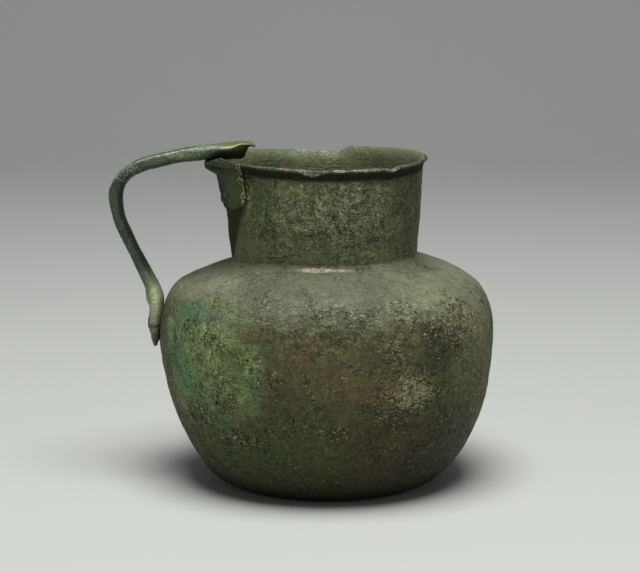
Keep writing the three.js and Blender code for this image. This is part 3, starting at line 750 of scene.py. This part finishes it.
vesselFinish = {
    "dark": paint(82, 82, 49),
    "olive": paint(101, 103, 64),
    "ochre": paint(121, 117, 74),
    "brown": paint(98, 82, 52),
    "shoulder": paint(129, 134, 106),
    "neck": paint(114, 120, 86),
    "lip": paint(50, 57, 41),
    # darker towards the base: partly the bronze's own darker patina, partly painted shade of the
    # lower belly
    "low": paint(47, 46, 22),
    "inside": paint(110, 118, 88),
    "insideDeep": paint(58, 62, 48),
    # painted shade: the colour laid under the lip and below the plate
    "paintedShadeColour": paint(16, 19, 12),
    "bright": paint(184, 182, 158),
    "crumb": paint(178, 172, 118),
    "malachite": paint(110, 147, 89),
    "yellowGreen": paint(138, 151, 93),
    "blueGreen": paint(86, 120, 92),
    "speck": paint(192, 188, 142),
    "chip": paint(206, 202, 162),
    "greenSpeck": paint(166, 192, 144),
    "pit": paint(20, 22, 12),
    "grain": (0.35, 1.65),
    "flakes": (0.74, 1.26),
    "specks": 0.8,
    "pits": 0.9,
    "grooves": 1.1,
    "roughness": (0.85, 0.5),
    "metallic": 0.15,
    "shine": 0.35,
    "relief": 0.34,
    # the green field: centre and size of its ovals, in millimetres
    "greenField": [((-35, -38, 45), (14, 14, 19)), ((-43, -27, 43), (8, 13, 17)),
                   ((-26, -44, 41), (8, 8, 12))],
    # where the crust is thick: centre, size, softness, strength
    "crusty": [((-38, -34, 47), (17, 17, 20), 0.7, 0.45), ((-38, -34, 52), (14, 14, 4), 0.6, 1.0),
               ((-31, -41, 38), (6, 7, 6), 0.6, 1.2), ((36, -32, 54), (17, 18, 6.5), 0.8, 1.0),
               ((20, -46, 46), (6, 8, 11), 0.8, 0.9), ((25, -44, 36.5), (10, 9, 5), 0.7, 1.9),
               ((4, -28, 88), (31, 16, 14), 0.8, 0.85), ((-40.4, -30, 27.5), (7, 8, 4), 0.6, 1.1),
               ((-30.3, -40, 33), (4.5, 6, 4), 0.6, 1.2), ((-26, -37, 21), (8, 8, 3.4), 0.6, 1.1),
               ((0, -48, 54), (26, 9, 5), 0.7, 0.45), ((46, 20, 38), (9, 14, 10), 0.8, 1.1),
               ((-16, 48, 34), (14, 9, 7), 0.8, 1.0)],
    # colour, centre, size, softness, strength
    "patches": [
        (paint(84, 142, 104), (-43, -28, 38.5), (3.2, 4.5, 6), 0.7, 0.7),
        (paint(136, 144, 84), (-33, -39.5, 48.6), (6, 8, 6), 0.7, 0.6),
        (paint(112, 142, 82), (-35.6, -37, 39), (4, 6, 5), 0.7, 0.6),
        (paint(92, 118, 64), (-38.9, -32, 31.4), (6, 8, 4.5), 0.6, 0.6),
        (paint(64, 90, 46), (-31, -36, 23.5), (8, 10, 5), 0.8, 0.5),
        (paint(70, 60, 40), (-17, -47.5, 38), (5, 6, 6), 0.7, 0.45),
        (paint(60, 84, 66), (-46.4, -23.5, 46), (1.4, 4, 7), 0.6, 0.6),
        (paint(142, 156, 116), (-48.5, -19, 50.5), (1.7, 5, 6), 0.6, 0.8),
        (paint(62, 118, 78), (-23, -46, 38.5), (1.2, 3, 5.5), 0.6, 0.6),
        (paint(88, 124, 96), (-41, -30, 57.6), (7.5, 9, 3.4), 0.5, 0.7),
        (paint(118, 128, 100), (-32, -38, 57), (5, 7, 4.5), 0.7, 0.6),
        (paint(142, 154, 98), (-34, -38.5, 44), (6, 8, 6), 0.8, 0.7),
        (paint(84, 98, 56), (-26.5, -43.5, 47), (4, 6, 6), 0.8, 0.5),
        (paint(84, 90, 72), (-50, -14, 40), (3.4, 6, 15), 0.4, 0.8),
        (paint(118, 84, 54), (-23.1, -45.6, 54.4), (1.4, 4, 2.4), 0.8, 0.55),
        (paint(104, 80, 54), (3.6, -51.5, 40.7), (5, 5, 3.4), 0.7, 0.4),
        (paint(116, 92, 60), (12, -50, 37), (7, 5, 3), 0.7, 0.45),
        (paint(70, 60, 38), (-40.4, -30, 27.5), (5, 6, 3), 0.7, 0.6),
        (paint(66, 58, 36), (-30.3, -40, 33), (4, 5, 3.5), 0.7, 0.6),
        (paint(80, 74, 44), (-26, -37, 21), (6, 6, 2.6), 0.7, 0.5),
        (paint(112, 112, 74), (40, -30, 50), (12, 15, 13), 0.8, 0.55),
        (paint(152, 154, 118), (34, -36, 61), (12, 12, 4), 0.8, 0.5),
        (paint(144, 146, 108), (45.5, -23, 55.5), (5, 9, 7), 0.8, 0.6),
        # painted shade in the hollow of the dent on the front right of the belly
        (paint(54, 54, 35), (32.5, -40.5, 49), (7, 8, 8), 0.6, 0.8),
        (paint(80, 84, 60), (28.2, -42, 44.6), (3.8, 5, 3.4), 0.6, 0.8),
        (paint(138, 130, 82), (22.9, -47, 39.5), (4.6, 5, 3.6), 0.8, 0.7),
        (paint(120, 122, 78), (29, -43, 37.6), (5, 5, 3), 0.8, 0.7),
        (paint(150, 132, 100), (25.9, -45, 53.1), (1.3, 3, 1.2), 0.7, 0.5),
        (paint(142, 124, 92), (24.7, -45.7, 48.1), (1.4, 3, 1.4), 0.8, 0.5),
        (paint(192, 182, 154), (22.3, -42.5, 60.3), (1.1, 3, 1.3), 0.5, 0.65),
        (paint(120, 118, 82), (20, -47, 50), (4, 6, 9), 0.8, 0.35),
        (paint(60, 86, 56), (34, -36.3, 32), (6, 6, 4), 0.7, 0.6),
        (paint(66, 86, 50), (-8, -45, 24), (22, 10, 10), 0.8, 0.35),
        (paint(62, 80, 42), (-22, -38, 15), (16, 14, 9), 0.8, 0.4),
        # darker at the lower right: partly patina, partly painted shade of the lower belly
        (paint(42, 40, 24), (34, -36, 18), (22, 16, 15), 0.8, 0.7),
        (paint(100, 104, 82), (-6, -36, 66), (24, 16, 6.5), 0.8, 0.7),
        (paint(84, 88, 68), (-19, -35, 66), (6, 8, 5), 0.8, 0.35),
        (paint(84, 88, 68), (14.5, -37, 66), (6, 8, 5), 0.8, 0.35),
        (paint(150, 158, 126), (-32, -23, 67), (5, 7, 4), 0.8, 0.5),
        (paint(150, 106, 78), (-6, -29.6, 71.3), (2, 3, 0.7), 0.5, 0.7),
        # a thin bright line along the front of the neck foot: a worn arc, drawn as a painted
        # highlight
        (paint(212, 206, 180), (-1, -29.6, 70.9), (6.5, 3, 0.5), 0.5, 0.85),
        (paint(62, 68, 44), (27, -16, 88), (8, 11, 18), 0.6, 0.7),
        (paint(158, 168, 122), (-4, -31, 92.5), (17, 7, 7), 0.8, 0.8),
        (paint(84, 92, 66), (-19, -26, 93), (5, 6, 6), 0.8, 0.4),
        (paint(124, 128, 90), (2, -31, 86), (14, 7, 6), 0.8, 0.5),
        (paint(122, 122, 70), (-24.5, -21.5, 84), (1.6, 3, 11), 0.6, 0.6),
        (paint(88, 114, 78), (4, -31, 91), (3.4, 4, 4), 0.8, 0.4),
        (paint(72, 100, 62), (-18, -25, 86), (3, 4, 5), 0.8, 0.4),
        (paint(78, 62, 40), (16, -46, 24), (17, 12, 10), 0.8, 0.45),
        # round the back
        (paint(86, 116, 78), (30, 42, 44), (15, 12, 12), 0.7, 0.55),
        (paint(74, 112, 88), (24, 46, 50), (6, 6, 5), 0.7, 0.5),
        (paint(104, 82, 56), (-18, 48, 40), (11, 8, 8), 0.8, 0.5),
        (paint(134, 130, 90), (48, 16, 36), (8, 12, 9), 0.8, 0.5),
        (paint(84, 110, 76), (-40, 32, 34), (10, 12, 9), 0.8, 0.45),
        (paint(112, 118, 80), (20, 24, 88), (12, 12, 8), 0.8, 0.5),
    ],
    "innerPatches": [
        (paint(124, 142, 116), (-7.5, 29, 99), (4.5, 6, 1.8), 0.7, 0.45),
        (paint(138, 140, 112), (-0.5, 30, 98.5), (3.6, 6, 1.6), 0.6, 0.5),
        (paint(124, 134, 90), (-1, 29, 96.2), (6.5, 6, 2), 0.7, 0.6),
        (paint(60, 72, 46), (-20, 24, 96.8), (5, 6, 2.2), 0.7, 0.65),
        (paint(82, 92, 64), (16, 24, 96), (6, 8, 4), 0.7, 0.5),
        (paint(104, 64, 44), (-12.2, 28, 96), (2.1, 5, 1.3), 0.6, 0.7),
        (paint(30, 88, 66), (-17, 26, 95.9), (1.5, 5, 1.2), 0.6, 0.75),
    ],
}


def makeVesselFinish(values):
    material, tree, shader, place = newMaterial("pitted_bronze")
    skin = crust(tree, place, 1.0, 0.0)
    height = addNode(tree, "ShaderNodeSeparateXYZ", {0: place}).outputs["Z"]
    inside = attribute(tree, "inside")
    colour = blendColour(tree, window(tree, skin["Mottle"], 0.36, 0.64), values["dark"],
                         values["olive"])
    colour = blendColour(tree, window(tree, skin["Cloud"], 0.5, 0.7, 0, 0.45), colour,
                         values["ochre"])
    rusty = noiseAt(tree, place, 130, 4, 0.6, 0.5)
    colour = blendColour(tree, window(tree, rusty, 0.5, 0.68, 0, 0.6), colour, values["brown"])
    neck = window(tree, height, 70 * mm, 76 * mm, 0, 0.75)
    colour = blendColour(tree, neck, colour, values["neck"])
    wander = reckon(tree, "MULTIPLY_ADD", noiseAt(tree, place, 150, 5, 0.68, 0.4), 2.6, -1.3)
    ragged = reckon(tree, "MULTIPLY_ADD", wander, 3 * mm, height)
    shoulder = times(tree, window(tree, ragged, 53 * mm, 64 * mm),
                     window(tree, ragged, 69 * mm, 79 * mm, 1, 0))
    colour = blendColour(tree, times(tree, shoulder, 0.9), colour, values["shoulder"])
    # darker towards the base: partly the bronze's own darker patina, partly painted shade of the
    # lower belly
    colour = blendColour(tree, window(tree, ragged, 4 * mm, 38 * mm, 0.95, 0), colour,
                         values["low"])
    field = 0.0
    for centre, size in values["greenField"]:
        field = reckon(tree, "MAXIMUM", field, patch(tree, place, times(tree, wander, 0.6),
                                                     centre, size, 0.3))
    mosaic = noiseAt(tree, place, 140, 5, 0.66, 0.6)
    green = blendColour(tree, window(tree, mosaic, 0.38, 0.58), values["malachite"],
                        values["yellowGreen"])
    green = blendColour(tree, window(tree, skin["Mottle"], 0.5, 0.7, 0, 0.35), green,
                        values["blueGreen"])
    showing = times(tree, field, window(tree, skin["Cloud"], 0.32, 0.46, 0.6, 0.92))
    colour = blendColour(tree, showing, colour, green)
    colour = layPatches(tree, place, wander, colour, values["patches"])
    within = blendColour(tree, window(tree, height, 60 * mm, 92 * mm), values["insideDeep"],
                         values["inside"])
    frayed = reckon(tree, "MULTIPLY_ADD", noiseAt(tree, place, 480, 4, 0.7, 0.6), 3.6, -1.8)
    within = layPatches(tree, place, frayed, within, values["innerPatches"])
    colour = blendColour(tree, times(tree, inside, 0.85), colour, within)
    # painted shade under the lip and below the plate
    colour = blendColour(tree, times(tree, attribute(tree, "paintedShade"), 0.94), colour,
                         values["paintedShadeColour"])
    colour = blendColour(tree, times(tree, attribute(tree, "lip"), 0.75), colour, values["lip"])
    rubbed = times(tree, attribute(tree, "worn"), window(tree, skin["Shade"], 0.48, 0.57), 0.7)
    colour = blendColour(tree, rubbed, colour, values["bright"])
    crumbs = times(tree, attribute(tree, "seamAndShade"), window(tree, skin["Grain"], 0.54, 0.6), 0.8)
    colour = blendColour(tree, crumbs, colour, values["crumb"])
    loud = loudAt(tree, place, wander, window(tree, skin["Crowd"], 0, 1, 0.3, 0.75), values)
    calm = times(tree, window(tree, height, 60 * mm, 66 * mm, 0, 0.4),
                 window(tree, height, 71 * mm, 75 * mm, 1, 0))
    calm = reckon(tree, "MAXIMUM", calm, times(tree, inside, 0.7))
    calm = reckon(tree, "MAXIMUM", calm, window(tree, height, 6 * mm, 26 * mm, 0.5, 0))
    calm = reckon(tree, "MAXIMUM", calm, times(tree, attribute(tree, "paintedShade"), 0.9))
    loud = times(tree, loud, reckon(tree, "SUBTRACT", 1.0, calm))
    speck = blendColour(tree, times(tree, field, 0.8), values["speck"], values["greenSpeck"])
    # the painted shade under the lip and below the plate is also made fully rough
    dress(tree, shader, colour, skin, values, loud, attribute(tree, "paintedShade"), speck)
    return material


handleFinish = {
    "dark": paint(58, 66, 58),
    "grey": paint(74, 84, 70),
    "green": paint(98, 110, 84),
    "leaf": paint(142, 154, 122),
    "tip": paint(116, 124, 80),
    # painted shade for the strap's underside
    "under": paint(24, 28, 22),
    "patches": [
        # painted highlight: a pale streak down the near side of the leaf
        (paint(186, 194, 150), (-53, -5, 56.5), (1.9, 5, 7.5), 0.6, 0.85),
        (paint(56, 64, 50), (-57.4, -4, 53), (1.9, 8, 12), 0.5, 0.7),
        (paint(30, 34, 24), (-54, -5, 49.4), (4, 7, 0.4), 0.4, 0.75),
        (paint(56, 62, 50), (-54, 0, 42.5), (6, 8, 4.4), 0.5, 0.8),
    ],
    # patches on the run and the tip, over their green
    "upperPatches": [
        (paint(126, 158, 138), (-37.5, -4, 106), (5, 6, 1.6), 0.6, 0.7),
        # painted highlight along the near edge of the dished tip
        (paint(184, 192, 132), (-28.5, -6.2, 106), (5.4, 2, 1.6), 0.5, 0.9),
        (paint(150, 158, 120), (-46, -4, 102.4), (5, 3, 0.9), 0.7, 0.6),
    ],
    # where chips sit: centre, size, softness, strength
    "crusty": [((-44, -4, 103), (13, 3, 2.6), 0.6, 1.1), ((-63, -4, 98), (6, 6, 6), 0.6, 1.2)],
    "speck": paint(186, 190, 156),
    "chip": paint(208, 214, 192),
    "pit": paint(28, 31, 26),
    "bright": paint(198, 206, 186),
    "grain": (0.7, 1.3),
    "flakes": (0.88, 1.12),
    "specks": 0.5,
    "pits": 0.6,
    "grooves": 0.25,
    "roughness": (0.7, 0.42),
    "metallic": 0.2,
    "shine": 0.5,
    "relief": 0.06,
}


def makeHandleFinish(values):
    material, tree, shader, place = newMaterial("strap_bronze")
    skin = crust(tree, place, 1.15, 0.31)
    colour = blendColour(tree, window(tree, skin["Mottle"], 0.36, 0.64), values["dark"],
                         values["grey"])
    wander = reckon(tree, "MULTIPLY_ADD", skin["Cloud"], 1.6, -0.8)
    leaf = patch(tree, place, wander, (-54.5, 0, 56), (6, 12, 11), 0.5)
    colour = blendColour(tree, times(tree, leaf, 0.85), colour, values["leaf"])
    colour = layPatches(tree, place, wander, colour, values["patches"])
    run = patch(tree, place, wander, (-46, 0, 106), (20, 12, 8), 0.4)
    colour = blendColour(tree, times(tree, run, 0.85), colour, values["green"])
    tip = patch(tree, place, wander, (-28, 0, 106), (9, 10, 2.4), 0.4)
    colour = blendColour(tree, times(tree, tip, 0.7), colour, values["tip"])
    colour = layPatches(tree, place, wander, colour, values["upperPatches"])
    # painted shade on the strap's underside
    colour = blendColour(tree, times(tree, attribute(tree, "seamAndShade"), 0.9), colour,
                         values["under"])
    rubbed = times(tree, attribute(tree, "worn"), window(tree, skin["Cloud"], 0.34, 0.54),
                   window(tree, skin["Shade"], 0.44, 0.54, 0.45, 1))
    colour = blendColour(tree, rubbed, colour, values["bright"])
    loud = loudAt(tree, place, wander, window(tree, skin["Crowd"], 0, 1, 0.25, 0.8), values)
    dress(tree, shader, colour, skin, values, loud)
    return material


plateFinish = {
    # dark: the plate's own dark patina, darkened further as painted shade from the strap above;
    # olive: the painted highlight on its bulge
    "dark": paint(29, 33, 22),
    "olive": paint(84, 94, 58),
    "flangeTop": paint(84, 92, 68),
    "crust": paint(190, 190, 150),
    "speck": paint(150, 152, 120),
    "pit": paint(18, 20, 14),
    "grain": (0.8, 1.2),
    "flakes": (0.94, 1.06),
    "specks": 0.2,
    "pits": 0.5,
    "grooves": 0.25,
    "roughness": (0.85, 0.5),
    "metallic": 0.15,
    "shine": 0.2,
    "relief": 0.08,
}


def makePlateFinish(values):
    material, tree, shader, place = newMaterial("plate_bronze")
    skin = crust(tree, place, 1.1, 0.53)
    # painted highlight: a lighter olive oval on each side of the plate's bulge
    paintedHighlight = reckon(tree, "MAXIMUM", patch(tree, place, 0.0, (-28.8, -17.4, 93), (4, 6, 6.5), 0.8),
                  patch(tree, place, 0.0, (-28.8, 17.4, 92), (4, 6, 6), 0.8))
    colour = blendColour(tree, paintedHighlight, values["dark"], values["olive"])
    height = addNode(tree, "ShaderNodeSeparateXYZ", {0: place}).outputs["Z"]
    colour = blendColour(tree, window(tree, height, 100.1 * mm, 100.5 * mm, 0, 0.7), colour,
                         values["flangeTop"])
    crumbs = times(tree, window(tree, skin["Grain"], 0.5, 0.56),
                   window(tree, skin["Flakes"], 0, 1, 0.15, 1))
    flaky = times(tree, attribute(tree, "seamAndShade"), crumbs)
    colour = blendColour(tree, flaky, colour, values["crust"])
    dress(tree, shader, colour, skin, values, 0.5)
    return material


rivetFinish = {
    "dark": paint(58, 64, 50),
    "light": paint(82, 90, 68),
    # the rivets in the leaf have its tone
    "patches": [(paint(108, 118, 92), (-56, 0, 50), (4, 9, 4), 0.3, 0.75)],
    "speck": paint(150, 152, 120),
    "pit": paint(24, 26, 20),
    "grain": (0.75, 1.25),
    "flakes": (0.9, 1.1),
    "specks": 0.3,
    "pits": 0.5,
    "grooves": 0.25,
    "roughness": (0.75, 0.45),
    "metallic": 0.25,
    "shine": 0.45,
    "relief": 0.08,
}


def makeRivetFinish(values):
    material, tree, shader, place = newMaterial("rivet_bronze")
    skin = crust(tree, place, 1.4, 0.77)
    colour = blendColour(tree, window(tree, skin["Cloud"], 0.42, 0.6), values["dark"],
                         values["light"])
    colour = layPatches(tree, place, 0.0, colour, values["patches"])
    dress(tree, shader, colour, skin, values)
    return material


vesselPiece.data.materials.append(makeVesselFinish(vesselFinish))
handlePiece.data.materials.append(makeHandleFinish(handleFinish))
platePiece.data.materials.append(makePlateFinish(plateFinish))
rivetMaterial = makeRivetFinish(rivetFinish)
for piece in rivetPieces:
    piece.data.materials.append(rivetMaterial)
print("finishes laid on")


# studio: a pale floor that curves up into a pale backdrop, and soft lamps

studio = {
    "halfWidth": 1.6,
    "front": -1.1,
    "back": 1.3,
    "curve": 0.5,
    "top": 1.7,
    "floorColour": paint(210, 213, 208),
    # name, place, size, watts
    "lamps": [("top lamp", (0.02, -0.22, 0.95), 0.62, 9.6),
              ("left lamp", (-0.9, -0.5, 0.5), 0.6, 0.3),
              ("right lamp", (0.9, -0.4, 0.5), 0.5, 0.35)],
    "world": paint(200, 204, 208),
    "worldStrength": 0.13,
}


def makeSweep(sizes):
    bm = bmesh.new()
    side, back, bow = sizes["halfWidth"], sizes["back"], sizes["curve"]
    line = [(sizes["front"], 0), (back - bow, 0)]
    line += [(back - bow + math.sin(step / 12 * math.pi / 2) * bow,
              bow - math.cos(step / 12 * math.pi / 2) * bow) for step in range(1, 13)]
    line.append((back, sizes["top"]))
    chain = [bm.verts.new((-side, y, z)) for y, z in line]
    edges = [bm.edges.new(pair) for pair in zip(chain, chain[1:])]
    wide = bmesh.ops.extrude_edge_only(bm, edges=edges)["geom"]
    bmesh.ops.translate(bm, vec=(2 * side, 0, 0),
                        verts=[item for item in wide if isinstance(item, bmesh.types.BMVert)])
    bmesh.ops.recalc_face_normals(bm, faces=bm.faces)
    mesh = bpy.data.meshes.new("sweep")
    bm.to_mesh(mesh)
    bm.free()
    mesh.shade_smooth()
    sweep = bpy.data.objects.new("sweep", mesh)
    bpy.context.collection.objects.link(sweep)
    material, tree, shader, place = newMaterial("pale_paper")
    shader.inputs["Base Color"].default_value = sizes["floorColour"]
    shader.inputs["Roughness"].default_value = 0.8
    mesh.materials.append(material)


def makeLamps(sizes):
    for name, place, size, watts in sizes["lamps"]:
        data = bpy.data.lights.new(name, "AREA")
        data.shape = "DISK"
        data.size = size
        data.energy = watts
        lamp = bpy.data.objects.new(name, data)
        lamp.location = place
        aim = Vector((0, 0, 0.05)) - Vector(place)
        lamp.rotation_euler = aim.to_track_quat("-Z", "Y").to_euler()
        bpy.context.collection.objects.link(lamp)
    world = bpy.data.worlds.new("studioAir")
    world.use_nodes = True
    air = world.node_tree.nodes["Background"]
    air.inputs["Color"].default_value = sizes["world"]
    air.inputs["Strength"].default_value = sizes["worldStrength"]
    bpy.context.scene.world = world


makeSweep(studio)
makeLamps(studio)
bpy.context.scene.view_settings.view_transform = "Standard"
print("studio lit")
